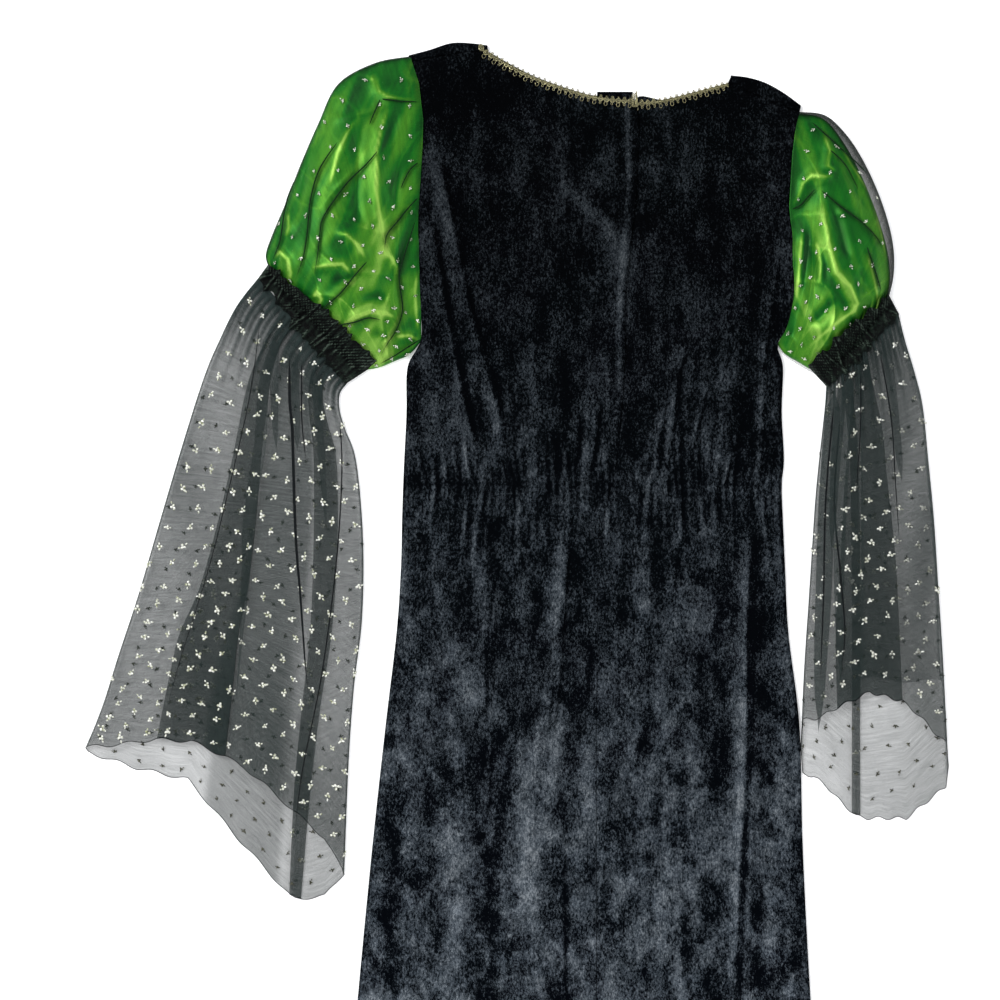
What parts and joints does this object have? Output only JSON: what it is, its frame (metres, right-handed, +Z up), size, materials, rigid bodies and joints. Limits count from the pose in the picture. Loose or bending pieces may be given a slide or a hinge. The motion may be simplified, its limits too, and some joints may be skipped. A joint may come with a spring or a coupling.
{
  "type": "witch costume",
  "caption": "Long witch dress laid flat, back up: crushed velvet gown with gathered waist, green satin puff sleeves under net, flared net flounces and gold neck braid.",
  "frame": {"origin": "under the middle of the laid dress, on the surface it lies on", "axes": "+Y towards the neck, +X to the right with the back of the dress up, +Z up from the surface"},
  "size_m": [0.7778, 1.229, 0.0333],
  "materials": {
    "velvet": "black crushed pile velvet",
    "green_satin": "glossy green satin",
    "glitter_net": "sheer black net with glitter sprigs",
    "gold_braid": "metallic gold loop braid"
  },
  "bodies": {
    "root": {"front_panel": "velvet", "back_left": "velvet", "back_right": "velvet", "placket_underlap": "velvet", "left_neck_braid": "gold_braid", "right_neck_braid": "gold_braid", "left_puff_satin": "green_satin", "right_puff_satin": "green_satin", "left_puff_net": "glitter_net", "right_puff_net": "glitter_net", "left_cuff_casing": "glitter_net", "right_cuff_casing": "glitter_net", "left_flounce": "glitter_net", "right_flounce": "glitter_net"}
  },
  "joints": []
}
